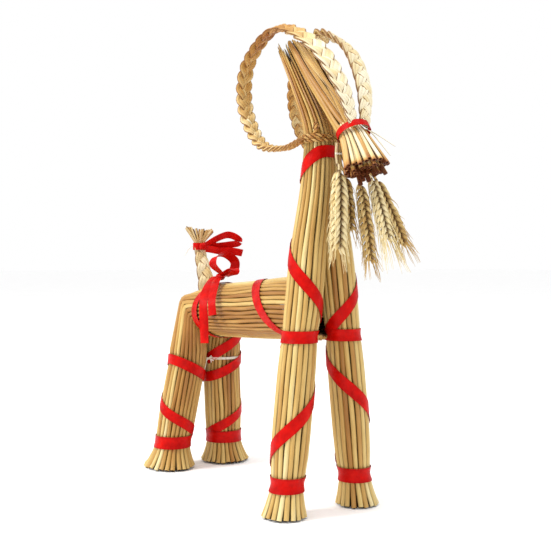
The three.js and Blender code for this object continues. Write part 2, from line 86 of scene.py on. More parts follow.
FORE_RINGS = ((19, 1.0, (368, 391)), (12, 0.62, (318, 330)), (5, 0.25, (306, 310)))

# place along x, axis height, radius
BODY = np.array([
    [78, 164.5, 26.4],
    [40, 163.5, 27],
    [0, 161, 26.5],
    [-45, 158.5, 25.8],
    [-93, 156.5, 25.5],
])

# height, axis x and y, radius along x and along y
HIND = np.array([
    [0, -129, 31, 25, 25],
    [19, -128.6, 29.5, 18, 18],
    [ANKLE_Z, -128, 28.8, 16.9, 16.9],
    [35, -126.7, 27.7, 17.9, 17.9],
    [60, -123, 25, 18.6, 18.6],
    [92, -118, 20.9, 18.4, 18.5],
    [HIND_TIE_Z, -115, 19.3, 17.6, 18.3],
    [127, -112.8, 19.2, 18.3, 18.4],
])
REAR_STRAWS = 26
ROUND_SHARE = 0.76  # share of the leg's straws that come from the outer side of the body
MID_GAP = 0.15  # how far each half of the goat stays from its middle plane

# the muzzle from its cut ends to its tie: x, z, tilt, radius in the tilt plane and across
MUZZLE = np.array([
    [136.6, 273.2, 29, 16.2, 17.5],
    [129.5, 286, 31, 13.2, 14.4],
    [122.5, 297, 32, 11, 12],
    [118.8, 301, 33, 10.4, 11.4],
    [114, 307, 38, 7.6, 10],
])
MUZZLE_TIE = (121.2, 302.6, 31)
MUZZLE_TIE_R = 13.2

HORN = np.array([
    [128.2, 5.6, 307.4],
    [119, 11.5, 340],
    [92, 17.5, 375],
    [48, 22.5, 395],
    [10, 26, 374],
    [4, 26.5, 338],
    [26, 25, 303],
    [60, 24.2, 295],
    [84, 22.8, 299],
])
HORN_WIDTH = [9.6, 18.5, 21.5, 18, 15.5, 15, 13, 9.5, 6.6]
HORN_LEAN = 0.45

TAIL = np.array([
    [-108, 0, 166], [-112, 0, 180], [-115.5, 0, 191], [-121, 0, 204], [-126.8, 0, 219],
])
TAIL_WIDTH = [20, 21, 19, 16.5, 12]
TAIL_TIE = (-126.8, 0.0, 218.6)
TUFT_STRAWS = 34

# stalk top, neck and tip of each wheat ear, its largest radius and how pale it is
EARS = [
    ((107.5, -6.4, 290), (118, -11.5, 271), (120, -13.5, 207), 7.4, 0.85),
    ((107.5, -3.2, 290), (112.5, -1, 268), (116, 1.5, 222), 5.6, 0.4),
    ((107.5, 0, 290), (120.5, 7.5, 262), (132, 9.5, 197), 5.8, 0.45),
    ((107.5, 3.2, 290), (123, 17, 266), (140, 20.5, 215), 6.0, 0.85),
    ((107.5, 6.4, 290), (119.5, 25, 266), (142.5, 35, 211), 6.2, 0.5),
]
HUSK_PITCH = 2.65

RIBBON = 9.8
ANKLE_RIBBON = 12.0  # width that two overlapping turns cover
CLOTH = 0.32  # thickness of a ribbon
TWINE_R = 0.38
BOW = np.array([-77, -4.5, 188.6])
RUMP_X = -84.0


# ---- maths ----
def unit(v):
    return v / np.maximum(np.linalg.norm(v, axis=-1, keepdims=True), 1e-9)


def heading(path):
    return unit(np.gradient(path, axis=0))


def square_to(tangent, way):
    """The part of way that stands square to tangent, as unit vectors."""
    return unit(way - tangent * np.einsum("ij,ij->i", way, tangent)[:, None])


def xyz(x, y, z):
    return np.stack(np.broadcast_arrays(x, y, z), axis=-1)


def smooth(xs, rows, q):
    """Rows at the places q, on a smooth curve that doesn't overshoot between its points."""
    xs, rows = np.asarray(xs, float), np.asarray(rows, float)
    if rows.ndim == 1:
        return smooth(xs, rows[:, None], q)[..., 0]
    if xs[0] > xs[-1]:
        xs, rows = xs[::-1], rows[::-1]
    slopes = np.diff(rows, axis=0) / np.diff(xs)[:, None]
    tangents = np.zeros_like(rows)
    product = slopes[:-1] * slopes[1:]
    total = np.where(product > 0, slopes[:-1] + slopes[1:], 1)
    tangents[1:-1] = np.where(product > 0, 2 * product / total, 0)
    tangents[0], tangents[-1] = slopes[0], slopes[-1]
    q = np.asarray(q, float)
    i = np.clip(np.searchsorted(xs, q, side="right") - 1, 0, len(xs) - 2)
    h = (xs[i + 1] - xs[i])[..., None]
    t = (q[..., None] - xs[i][..., None]) / h
    a, b = rows[i], rows[i + 1]
    return (
        (1 + 2 * t) * (1 - t) ** 2 * a
        + t * (1 - t) ** 2 * h * tangents[i]
        + t * t * (3 - 2 * t) * b
        + t * t * (t - 1) * h * tangents[i + 1]
    )


def row_at(table, q):
    """What follows the first column of a table, at the places q in that column."""
    return smooth(table[:, 0], table[:, 1:], q)


def through(points, count):
    """A round curve through points, as count points evenly spaced along it."""
    p = np.asarray(points, float)
    p = np.vstack([2 * p[0] - p[1], p, 2 * p[-1] - p[-2]])
    fine = []
    for i in range(1, len(p) - 2):
        t = np.linspace(0, 1, 24, endpoint=i == len(p) - 3)[:, None]
        a, b, c, d = p[i - 1 : i + 3]
        square, cube = 2 * a - 5 * b + 4 * c - d, 3 * b - a - 3 * c + d
        fine.append(0.5 * (2 * b + (c - a) * t + square * t**2 + cube * t**3))
    fine = np.vstack(fine)
    s = np.concatenate([[0], np.cumsum(np.linalg.norm(np.diff(fine, axis=0), axis=1))])
    at = np.linspace(0, s[-1], count)
    return np.stack([np.interp(at, s, fine[:, k]) for k in range(fine.shape[1])], axis=1)


def lengths(path):
    return np.concatenate([[0], np.cumsum(np.linalg.norm(np.diff(path, axis=0), axis=1))])


def wander(s, amount, scale):
    """A slow random drift along s."""
    phase = rng.uniform(0, TAU, 3)
    return amount * (
        0.5 * np.sin(s / scale + phase[0])
        + 0.3 * np.sin(2.3 * s / scale + phase[1])
        + 0.2 * np.sin(4.1 * s / scale + phase[2])
    )


def free_of(s, ties, reach=14.0):
    """0 at each tie and 1 away from it."""
    near = np.min([np.abs(s - t) for t in ties], axis=0) / reach
    near = np.clip(near, 0, 1)
    return near * near * (3 - 2 * near)


# ---- meshes ----
class Piece:
    """One object's mesh while it is made: rings of points, with values that its material reads."""

    def __init__(self):
        self.points, self.faces, self.grain, self.tone, self.shade = [], [], [], [], []
        self.count = 0

    def add(self, points, faces, grain, tone, shade):
        a, b, c = (points[[f[k] for f in faces]] for k in range(3))
        d = points[[f[3 if len(f) > 3 else 2] for f in faces]]
        volume = np.einsum("ij,ij->i", a, np.cross(b, c)).sum()
        volume += np.einsum("ij,ij->i", a, np.cross(c, d)).sum()
        order = -1 if volume < 0 else 1
        self.faces += [[v + self.count for v in f[::order]] for f in faces]
        self.points.append(points)
        self.grain.append(grain)
        self.tone.append(tone)
        self.shade.append(shade)
        self.count += len(points)

    def tube(self, rings, tone=0.5, shade=0.0, along=None):
        """A closed skin through rings, an array of (rings, points round, 3)."""
        n, m, _ = rings.shape
        if along is None:
            along = lengths(rings.mean(axis=1))
        edges = [(k, (k + 1) % m) for k in range(m)]
        first, last = n * m, (n - 1) * m
        faces = [(i + k, i + l, i + m + l, i + m + k) for i in range(0, last, m) for k, l in edges]
        for k, l in edges:
            faces += [(first, l, k), (first + 1, last + k, last + l)]
        points = np.vstack([rings.reshape(-1, 3), rings[[0, -1]].mean(axis=1)])
        turn = np.arange(m) / m * TAU
        grain = xyz(np.cos(turn), np.sin(turn), along[:, None]).reshape(-1, 3)
        grain = np.vstack([grain, [[0, 0, along[0]], [0, 0, along[-1]]]])
        tone = np.asarray(tone, float)
        values = []
        for v in (tone[:, None] if tone.ndim == 1 else tone, shade):
            v = np.broadcast_to(v, (n, m))
            values.append(np.concatenate([v.ravel(), [v[0, 0], v[-1, 0]]]))
        self.add(points, faces, grain, *values)

    def make(self, name, body, slot, replaced=(), sharp=38, look=None):
        mesh = bpy.data.meshes.new(name)
        mesh.from_pydata((np.vstack(self.points) * MM).tolist(), [], self.faces)
        for key, values, kind in (
            ("grain", np.vstack(self.grain), "FLOAT_VECTOR"),
            ("tone", np.concatenate(self.tone), "FLOAT"),
            ("shade", np.concatenate(self.shade), "FLOAT"),
        ):
            data = mesh.attributes.new(key, kind, "POINT").data
            field = "vector" if kind == "FLOAT_VECTOR" else "value"
            data.foreach_set(field, values.astype(np.float32).ravel())
        mesh.polygons.foreach_set("use_smooth", [True] * len(mesh.polygons))
        mesh.set_sharp_from_angle(angle=math.radians(sharp))
        mesh.materials.append(MATERIALS[look or slot])
        piece = bpy.data.objects.new(name, mesh)
        bpy.context.scene.collection.objects.link(piece)
        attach(piece, body)
        if replaced:
            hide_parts(*replaced)
        return piece


def straw(
    piece, path, outward, wide, deep, tone, *,
    sides=10, dim=0.0, slant=0.0, hollow=(True, True), darker_end=0.0,
):
    """One straw along path: half widths across and along outward, hollow where it is cut.

    Its last end is cut at a slant, and its first end can be darkened over its first few
    millimetres. Painted shade darkens its sides and its back, away from outward, and the inside of
    each hollow end; dim adds painted shade to the whole straw.
    """
    path = np.asarray(path, float)
    n = len(path)
    tangent = heading(path)
    across = unit(np.cross(tangent, np.broadcast_to(outward, path.shape)))
    out = np.cross(across, tangent)
    turn = np.arange(sides) / sides * TAU
    wide, deep = np.broadcast_to(wide, n), np.broadcast_to(deep, n)
    s = lengths(path)
    tones = np.clip(np.broadcast_to(tone, n) - darker_end * np.exp(-s / DARK_END_LENGTH), 0, 1)
    cut = slant * 0.5 * (1 - np.sin(turn))

    def ring(i, scale=1.0, shift=0.0):
        points = path[i] + across[i] * (wide[i] * scale * np.sin(turn))[:, None]
        points = points + out[i] * (deep[i] * scale * np.cos(turn))[:, None]
        return points + tangent[i] * (shift - cut * (i == n - 1))[:, None]

    # painted shade: darker towards the sides and back, where neighbouring straws would shade it,
    # plus dim for a straw inside the bundle; the rim and bore of a hollow end get painted shade too
    skin = dim + 0.5 * (1 - np.cos(turn))
    rim, inside = np.full(sides, 0.62), np.ones(sides)
    rings = [ring(i) for i in range(n)]
    shades = [skin] * n
    tones, along = list(tones), list(s)
    if hollow[0]:
        rings = [ring(0, BORE_SHARE, BORE_DEPTH), ring(0, BORE_SHARE)] + rings
        shades = [inside, rim] + shades
        tones, along = tones[:1] * 2 + tones, [BORE_DEPTH, 0.0] + along
    if hollow[1]:
        rings += [ring(n - 1, BORE_SHARE), ring(n - 1, BORE_SHARE, -BORE_DEPTH)]
        shades += [rim, inside]
        tones, along = tones + tones[-1:] * 2, along + [s[-1], s[-1] - BORE_DEPTH]
    along = np.array(along) + rng.uniform(0, 400)
    piece.tube(np.array(rings), np.array(tones), np.array(shades), along)


def thread_along(piece, path, radius, sides=6, tone=0.5):
    """A thin round thread along a path."""
    path = np.asarray(path, float)
    tangent = heading(path)
    guide = (0.13, 0.31, 0.94) if abs(tangent[:, 2]).mean() < 0.8 else (0.9, 0.3, 0.1)
    across = unit(np.cross(tangent, guide))
    up = np.cross(across, tangent)
    turn = (np.arange(sides) / sides * TAU)[:, None]
    radius = np.broadcast_to(radius, len(path))[:, None, None]
    rings = path[:, None] + radius * (across[:, None] * np.cos(turn) + up[:, None] * np.sin(turn))
    piece.tube(rings, tone, 0.1)


# ---- surfaces: (place along, angle, distance outwards) to points ----
def leg_surface(table, side):
    def surface(z, angle, out):
        x, y, along_x, along_y = np.moveaxis(row_at(table, z), -1, 0)
        y = np.maximum(MID_GAP, y + (along_y + out) * np.sin(angle))
        return xyz(x + (along_x + out) * np.cos(angle), side * y, z)

    return surface


def neck_surface(z, angle, out):
    x, y, along_x, along_y = np.moveaxis(row_at(FORE, z), -1, 0)
    shift = y * np.clip(3 * np.sin(angle), -1, 1)
    return xyz(x + (along_x + out) * np.cos(angle), shift + (along_y + out) * np.sin(angle), z)


def body_surface(x, angle, out):
    height, radius = np.moveaxis(row_at(BODY, x), -1, 0)
    r = radius + out
    return xyz(x, -r * np.sin(angle), height + r * np.cos(angle))


# ---- ribbons ----
ACROSS = np.linspace(-1, 1, 7)


def cloth_strip(piece, middle, normal):
    """A thin strip from its middle surface and outward normals, each (places, across, 3)."""
    half = CLOTH / 2 * (1 - 0.35 * np.abs(ACROSS) ** 6)[None, :, None]
    rings = np.concatenate([middle + normal * half, (middle - normal * half)[:, ::-1]], axis=1)
    piece.tube(rings, along=lengths(middle[:, len(ACROSS) // 2]))
    width = np.linalg.norm(middle[:, -1] - middle[:, 0], axis=1).mean() / 2
    over = np.concatenate([ACROSS, ACROSS[::-1]]) * width
    skin = piece.grain[-1][: len(middle) * len(over)]
    skin[:, 0] = np.tile(over, len(middle))
    skin[:, 1] = 0


def laid(piece, surface, places, angles, width=RIBBON, out=0.5, straws=32, sag=0.22):
    """A ribbon laid on a surface along places and angles, dipping a little between its straws."""
    h = 1e-3
    centre = surface(places, angles, 0)
    by_s = (surface(places + h, angles, 0) - centre) / h
    by_a = (surface(places, angles + h, 0) - centre) / h
    side = unit(np.cross(np.cross(by_s, by_a), heading(centre))) * width / 2
    dot = lambda a, b: np.einsum("ij,ij->i", a, b)
    ss, sa, aa = dot(by_s, by_s), dot(by_s, by_a), dot(by_a, by_a)
    ps, pa = dot(side, by_s), dot(side, by_a)
    det = ss * aa - sa * sa
    ds, da = (ps * aa - pa * sa) / det, (pa * ss - ps * sa) / det
    along = lengths(centre)
    drift = wander(along, 0.16, 9.0)
    grid, normals = [], []
    for w in ACROSS:
        s, a = places + w * ds, angles + w * da
        curl = 0.12 * abs(w) ** 3 * np.sin(along / 6.1 + 2 * w)
        dip = sag * np.sin(a * straws / 2) ** 2 + curl
        lift = out + drift * (0.4 + 0.6 * abs(w)) - dip
        grid.append(surface(s, a, lift))
        normals.append(unit(surface(s, a, lift + 0.5) - grid[-1]))
    cloth_strip(piece, np.stack(grid, axis=1), np.stack(normals, axis=1))


def band(
    piece, surface, place, width=RIBBON, *,
    out, rise=np.zeros_like, turns=1.06, start=math.pi, straws=32, sag=0.22,
):
    """A ribbon once round a surface, its end lying over its start at the back."""
    steps = int(72 * turns)
    angles = start + np.linspace(0, turns * TAU, steps)
    over = np.linspace(0, 1, steps) ** 8 * 0.45
    laid(piece, surface, place + rise(angles), angles, width, out + over, straws, sag)


def wound(piece, surface, ends):
    """A ribbon wound at an even pitch between two (angle in degrees, place) ends."""
    (a0, s0), (a1, s1) = ends
    steps = int(abs(a1 - a0) / 4.5)
    laid(piece, surface, np.linspace(s0, s1, steps), np.radians(np.linspace(a0, a1, steps)))


def loop_strip(piece, points, wides, width):
    """A free ribbon along points, its width along the vectors wides, with soft waves."""
    count = 64
    path = through(points, count)
    wides = np.asarray(wides, float)
    if wides.ndim > 1:
        wides = smooth(np.linspace(0, 1, len(wides)), wides, np.linspace(0, 1, count))
    tangent = heading(path)
    side = square_to(tangent, np.broadcast_to(wides, path.shape))
    normal = np.cross(tangent, side)
    crown = 0.5 * (width / 2) * 0.16 * (1 - ACROSS**2)[None]
    ripple = 0.35 * np.sin(lengths(path) / 5.3)[:, None] * ACROSS[None] ** 3
    middle = path[:, None] + side[:, None] * (width / 2 * ACROSS)[None, :, None]
    middle = middle + normal[:, None] * (crown + ripple)[..., None]
    cloth_strip(piece, middle, np.repeat(normal[:, None], len(ACROSS), axis=1))


# ---- materials ----
class Look:
    """A material while it is made."""

    def __init__(self, name):
        self.material = bpy.data.materials.new(name)
        self.material.use_nodes = True
        self.tree = self.material.node_tree
        self.surface = self.tree.nodes["Principled BSDF"].inputs

    def feed(self, socket, value):
        """A socket takes another's output, or a plain value."""
        if isinstance(value, bpy.types.NodeSocket):
            self.tree.links.new(value, socket)
        else:
            socket.default_value = value

    def node(self, kind, *inputs, output=0, **settings):
        """The output of a new node, with its first inputs and its settings."""
        made = self.tree.nodes.new("ShaderNode" + kind)
        for key, value in settings.items():
            if key in made.inputs:
                self.feed(made.inputs[key], value)
            else:
                setattr(made, key, value)
        for socket, value in zip(made.inputs, inputs):
            self.feed(socket, value)
        return made.outputs[output]

    def attribute(self, name):
        kind = "Vector" if name == "grain" else "Fac"
        return self.node("Attribute", attribute_name=name, output=kind)

    def noise(self, vector, scale, detail=2.0, roughness=0.5):
        return self.node("TexNoise", vector, Scale=scale, Detail=detail, Roughness=roughness)

    def stretched(self, vector, scale):
        return self.node("VectorMath", vector, scale, operation="MULTIPLY")

    def mix(self, factor, a, b, blend="MIX"):
        mode = {"data_type": "RGBA", "blend_type": blend}
        return self.node("Mix", **mode, Factor=factor, A=a, B=b, output="Result")

    def ramp(self, value, stops):
        colour = self.node("ValToRGB", value)
        elements = colour.node.color_ramp.elements
        while len(elements) < len(stops):
            elements.new(0.5)
        for element, (at, shade) in zip(elements, stops):
            element.position = at
            element.color = (*shade, 1)
        return colour

    def bump(self, height, strength, distance):
        normal = self.node("Bump", Height=height, Strength=strength, Distance=distance)
        self.feed(self.surface["Normal"], normal)


def srgb(r, g, b):
    """A colour given as 0 to 255, in linear light."""
    linear = lambda v: ((v / 255 + 0.055) / 1.055) ** 2.4 if v > 10 else v / 255 / 12.92
    return tuple(linear(v) for v in (r, g, b))


def straw_material(name, tones, gap, roughness):
    """Culm skin: a tone for each straw, fibres and slow stains along it, and painted shade between
    straws and inside cut ends, blending towards gap, the colour of that shade.
    """
    look = Look(name)
    grain = look.attribute("grain")
    fibres = look.noise(look.stretched(grain, (2.2, 2.2, 0.035)), 4.0, 5.0, 0.6)
    stains = look.noise(look.stretched(grain, (0.5, 0.5, 0.03)), 1.0)
    tone = look.node("Math", look.attribute("tone"), 0.275, operation="SUBTRACT")
    level = look.node("Math", stains, 0.55, tone, operation="MULTIPLY_ADD")
    streak = look.node("MapRange", fibres, 0.3, 0.7, 0.82, 1.1)
    streaked = look.mix(1.0, look.ramp(level, tones), streak, "MULTIPLY")
    smoothly = {"interpolation_type": "SMOOTHSTEP"}
    # painted shade: the shade attribute darkens the straw towards gap, the colour given for shade
    # between straws
    painted_shade = look.node("MapRange", look.attribute("shade"), 0.18, 0.58, 0.0, 0.92, **smoothly)
    look.feed(look.surface["Base Color"], look.mix(painted_shade, streaked, (*gap, 1)))
    rough = look.node("MapRange", fibres, 0.0, 1.0, roughness - 0.1, roughness + 0.14)
    look.feed(look.surface["Roughness"], rough)
    look.bump(fibres, 0.3, 0.00025)
    look.surface["Specular IOR Level"].default_value = 0.3
    return look.material


def satin_material(name):
    """Red satin ribbon: a fine weave across and along it, and darker selvedges."""
    look = Look(name)
    grain = look.attribute("grain")
    across = look.node("SeparateXYZ", grain, output="X")
    along = across.node.outputs["Z"]
    waves = []
    for way, threads in ((across, 26.0), (along, 15.0)):
        scaled = look.node("Math", way, threads, operation="MULTIPLY")
        waves.append(look.node("Math", scaled, operation="SINE"))
    cloud = look.noise(grain, 0.11, 3.0)
    reds = [(0.3, srgb(158, 2, 0)), (0.55, srgb(188, 6, 1)), (0.75, srgb(206, 17, 3))]
    edge = look.node("Math", across, operation="ABSOLUTE")
    selvedge = look.node("MapRange", edge, RIBBON / 2 - 0.7, RIBBON / 2, 0.0, 0.45)
    red = look.mix(selvedge, look.ramp(cloud, reds), (*srgb(150, 2, 6), 1))
    look.feed(look.surface["Base Color"], red)
    look.bump(look.node("Math", *waves, operation="ADD"), 0.18, 0.00008)
    look.surface["Roughness"].default_value = 0.36
    look.surface["Specular IOR Level"].default_value = 0.09
    return look.material


def thread_material(name):
    """Undyed cotton thread: twisted plies and a little fuzz."""
    look = Look(name)
    plies = look.noise(look.stretched(look.attribute("grain"), (1.0, 1.0, 1.6)), 2.5, 4.0)
    whites = [(0.3, srgb(205, 196, 176)), (0.6, srgb(236, 231, 218)), (0.8, srgb(250, 248, 240))]
    look.feed(look.surface["Base Color"], look.ramp(plies, whites))
    look.bump(plies, 0.4, 0.0002)
    look.surface["Roughness"].default_value = 0.85
    look.surface["Sheen Weight"].default_value = 0.2
    return look.material


GOLDEN = [
    (0.0, srgb(128, 78, 32)),
    (0.3, srgb(164, 116, 54)),
    (0.55, srgb(190, 152, 84)),
    (0.8, srgb(206, 178, 112)),
    (1.0, srgb(222, 203, 150)),
]
PALE = [
    (0.0, srgb(146, 88, 34)),
    (0.3, srgb(188, 140, 70)),
    (0.55, srgb(210, 178, 116)),
    (0.8, srgb(226, 208, 162)),
    (1.0, srgb(236, 226, 196)),
]
WHEAT = [
    (0.0, srgb(140, 98, 44)),
    (0.35, srgb(184, 148, 84)),
    (0.65, srgb(212, 188, 130)),
    (1.0, srgb(230, 215, 172)),
]
# the colour after each straw look's ramp is the colour of its painted shade between straws
MATERIALS = {
    "straw": straw_material("straw", GOLDEN, srgb(50, 27, 10), 0.42),
    "muzzle_straw": straw_material("muzzle_straw", PALE, srgb(84, 34, 14), 0.44),
    "plaited_straw": straw_material("plaited_straw", PALE, srgb(120, 76, 34), 0.46),
    "wheat_ear": straw_material("wheat_ear", WHEAT, srgb(92, 60, 30), 0.58),
    "red_ribbon": satin_material("red_ribbon"),
    "thread": thread_material("thread"),
}


# ---- camera, floor and light ----
AZIMUTH, LOOK_DOWN = 56.5, 0.668  # degrees
LENS = 58.8
CAMERA_AT = (0.6688, -0.4348, 0.2)
FLOOR_HALF = 30.0


def studio():
    camera = bpy.data.cameras.new("camera")
    camera.lens, camera.sensor_width = LENS, 36
    eye = bpy.data.objects.new("camera", camera)
    eye.location = CAMERA_AT
    eye.rotation_euler = (math.pi / 2 - math.radians(LOOK_DOWN), 0, math.radians(AZIMUTH))
    bpy.context.scene.collection.objects.link(eye)
    bpy.context.scene.camera = eye

    world = bpy.data.worlds.new("studio")
    world.use_nodes = True
    sky = world.node_tree.nodes["Background"]
    sky.inputs["Color"].default_value = (1, 1, 1, 1)
    sky.inputs["Strength"].default_value = 1.0
    bpy.context.scene.world = world

    mesh = bpy.data.meshes.new("floor")
    r = FLOOR_HALF
    mesh.from_pydata([(-r, -r, 0), (r, -r, 0), (r, r, 0), (-r, r, 0)], [], [(0, 1, 2, 3)])
    look = Look("floor")
    paper = look.node("TexNoise", Scale=300.0)
    tint = look.ramp(paper, [(0.4, (0.975,) * 3), (0.6, (0.99,) * 3)])
    look.feed(look.surface["Base Color"], tint)
    look.surface["Roughness"].default_value = 0.9
    mesh.materials.append(look.material)
    floor = bpy.data.objects.new("floor", mesh)
    bpy.context.scene.collection.objects.link(floor)

    def lamp(name, at, size, power, target=(0.0, 0.0, 0.2)):
        data = bpy.data.lights.new(name, "AREA")
        data.shape, data.size, data.energy = "DISK", size, power
        o = bpy.data.objects.new(name, data)
        o.location = at
        o.rotation_euler = (Vector(target) - Vector(at)).to_track_quat("-Z", "Y").to_euler()
        bpy.context.scene.collection.objects.link(o)

    lamp("key", (-0.35, -1.6, 1.6), 0.6, 36)
    lamp("top", (0.6, 0.1, 2.2), 1.0, 14)
    bpy.context.scene.view_settings.view_transform = "Standard"


studio()


# ---- bundles of straw ----
# painted shade: the straws inside a bundle are darkened as if the outer straws shade them
INNER_SHADE = 0.42  # how much darker the straws inside a bundle are
# painted light: paler at the feet, a painted highlight, and darker over the crown, painted shade
FORE_TONE_Z = [0, 27, 60, 296, 325, 360, 388]
FORE_TONE = [0.18, 0.08, 0, 0, -0.32, -0.22, 0.05]
HIND_HEIGHTS = [
    118, 114, 111, 108, 105, 101, 96, 88, 78, 68, 58, 48, 40, 34, 30, 27, 24, 20, 15, 10, 5, 0,
]
BODY_STEPS = 20


def lay_bundle(piece, centres, outward, tones, deep, **options):
    """Straws along centres, (straws, places, 3), each as wide as its neighbours leave it."""
    gap = np.linalg.norm(np.roll(centres, -1, axis=0) - centres, axis=2)
    room = 0.5 * (gap + np.roll(gap, 1, axis=0))
    wide = np.clip(room * 0.49, 0.5 * STRAW_R, 1.08 * STRAW_R)
    for k in range(len(centres)):
        straw(piece, centres[k], outward[k], wide[k], deep, tones[k], **options)


def fore_bundle(side, name):
    """A fore leg, half of the chest and neck, and half of the crown, all in one run of straws."""
    piece = Piece()
    at_ties = [t + np.arange(-9, 10, 3) for t in FORE_TIES]
    steps = np.unique(np.round(np.concatenate([np.arange(10, 400, 9.0)] + at_ties)))
    steps = steps[np.concatenate([[True], np.diff(steps) > 1.5])]
    # each ring of straws: how many, its share of the bundle's radius, and where its straws end
    for count, share, tops in FORE_RINGS:
        for k in range(count):
            angle0 = (k + 0.5) / count * TAU + rng.uniform(-0.02, 0.02)
            top = rng.uniform(*tops)
            middle = steps[(steps > 4) & (steps < top - 3)]
            z = np.concatenate([[rng.uniform(0.9, 2.0)], middle, [top]])
            loose = free_of(z, FORE_TIES)
            angle = angle0 + wander(z, 0.04, 34.0) * loose
            row = row_at(FORE, z)
            b = STRAW_R * np.interp(z, [0, 305, 345, top - 16, top], [1, 0.94, 0.86, 0.74, 0.2])
            inset = b + 0.25 * loose * (0.5 + wander(z, 0.5, 41.0))
            x = row[:, 0] + (row[:, 2] - inset) * share * np.cos(angle)
            y = np.maximum(b * 0.8, row[:, 1] + (row[:, 3] - inset) * share * np.sin(angle))
            path = xyz(x, side * y, z)
            outward = xyz(np.cos(angle), side * np.sin(angle), 0)
            pitch = (0.5 * (row[:, 2] + row[:, 3]) - inset) * share * math.sin(math.pi / count)
            wide = np.clip(pitch, 0.55 * b, 1.02 * b)
            tone = np.clip(rng.normal(0.6, 0.14), 0.1, 0.95)
            # painted highlight at the foot and painted shade over the crown
            tone = tone + np.interp(z, FORE_TONE_Z, FORE_TONE)
            # painted shade on the inner rings
            dim = 0.0 if share == 1 else INNER_SHADE
            straw(piece, path, outward, wide, 0.96 * b, tone, slant=2.5, dim=dim)
    piece.make(f"fore_bundle_{name}", "goat", "straw", [f"fore_bundle_{name}"])


def leg_line(side, u, share, inset, heights=np.array(HIND_HEIGHTS, float)):
    """The middle line of a hind leg's straw, u of the way round, and its outward side."""
    row = row_at(HIND, heights)
    loose = free_of(heights, (HIND_TIE_Z, ANKLE_Z))
    angle = u * TAU + wander(heights, 0.04, 30.0) * loose
    back = 0.5 + 0.5 * np.cos(angle)
    flare = (3.4 - 3.2 * side) * share * (np.clip(1 - heights / ANKLE_Z, 0, 1) ** 1.2) * back
    x = row[:, 0] - (row[:, 2] - inset) * share * np.cos(angle) - flare
    y = np.maximum(STRAW_R * 0.8, row[:, 1] + (row[:, 3] - inset) * share * np.sin(angle))
    return xyz(x, side * y, heights), xyz(-np.cos(angle), side * np.sin(angle), 0)


def rear_line(side, u, share):
    """A straw's middle line from the fore legs to a hind foot, and its outward side."""
    round_part = u < ROUND_SHARE
    half = (u / ROUND_SHARE) * 0.5 if round_part else 1 - (1 - u) / (1 - ROUND_SHARE) * 0.5
    inset = STRAW_R + 0.1
    angle = half * TAU
    near = row_at(BODY, np.array([60.0]))[0]
    y, z = (near[1] - inset) * abs(math.sin(angle)), near[0] + (near[1] - inset) * math.cos(angle)
    fore = row_at(FORE, z)
    beside = (fore[3] - 1.0) ** 2 - (y - fore[1]) ** 2
    stop = FORE_X - math.sqrt(beside) + 1.0 if beside > 0 else 77.0
    xs = np.linspace(stop if share == 1 else -60, RUMP_X - 6, BODY_STEPS)
    row = row_at(BODY, xs)
    turn = angle + wander(xs, 0.03, 30.0) * np.sin(math.pi * np.linspace(0, 1, BODY_STEPS))
    reach = (row[:, 1] - inset) * share
    y = np.maximum(STRAW_R * 0.8, reach * np.sin(turn))
    body = xyz(xs, side * y, row[:, 0] + reach * np.cos(turn))
    way = xyz(0, side * np.sin(turn), np.cos(turn))
    leg, leg_way = leg_line(side, u, share, inset)
    slump = 13 * max(0.0, math.cos(u * TAU)) ** 1.3 * (u < 0.5 or u > 0.8) + 1.5
    across = 0.6 * body[-1, 1] + 0.4 * leg[0, 1]
    corner = np.array([leg[0, 0], across, body[-1, 2] - slump * share])
    before = corner + unit(body[-1] - corner) * 4.5
    after = corner + unit(leg[0] - corner) * 4.5
    fold = 0.18 * before + 0.64 * corner + 0.18 * after + rng.normal(0, 0.3, 3)
    bend = unit(way[-1] + leg_way[0])
    turned = [unit(way[-1] * 0.8 + bend * 0.2), bend, unit(leg_way[0] * 0.8 + bend * 0.2)]
    return np.vstack([body, before, fold, after, leg]), np.vstack([way, turned, leg_way])


def rear_bundle(side, name):
    """Half of the body, folded down at the rump to be a hind leg."""
    piece = Piece()
    for count, share in ((REAR_STRAWS, 1.0), (18, 0.76)):
        around = (np.arange(count) + 0.5) / count
        runs = [rear_line(side, u, share) for u in around]
        centres, outward = (np.array([r[i] for r in runs]) for i in (0, 1))
        centres[:, -1, 2] = rng.uniform(1, 2.3, count)
        deep = np.full(centres.shape[1], 0.97 * STRAW_R)
        deep[BODY_STEPS : BODY_STEPS + 3] *= (0.85, 0.62, 0.85)  # pressed flat at the fold
        # painted light: straws over the top of the body lighter and those round its lower side
        # darker, painted shade; paler towards the feet, painted highlight, and a little darker up
        # on the body, painted shade; inner straws get painted shade
        tones = np.clip(rng.normal(0.5, 0.15, count) + 0.24 * np.cos(around * TAU), 0.02, 0.98)
        paler = np.interp(centres[0, :, 2], [0, 27, 60, 110, 150], [0.28, 0.16, 0.1, 0, -0.04])
        look = {"dim": 0 if share == 1 else INNER_SHADE, "hollow": (False, True)}
        lay_bundle(piece, centres, outward, tones[:, None] + paler[None], deep, **look)
    low = np.array([z for z in HIND_HEIGHTS if z < 112], float)
    for count, share in ((11, 0.48), (5, 0.22)):
        for k in range(count):
            path, out = leg_line(side, (k + 0.5) / count, share, STRAW_R, low)
            path[-1, 2] = rng.uniform(1, 2.6)
            tone = np.clip(rng.normal(0.5, 0.12), 0, 1)
            straw(piece, path, out, STRAW_R, STRAW_R, tone, dim=INNER_SHADE)
    piece.make(f"rear_bundle_{name}", "goat", "straw", [f"rear_bundle_{name}"])


for name, side in (("left", 1), ("right", -1)):
    fore_bundle(side, name)
    rear_bundle(side, name)


# ---- head ----
def head_rows(table, places):
    return smooth(np.arange(len(table)), table, places)


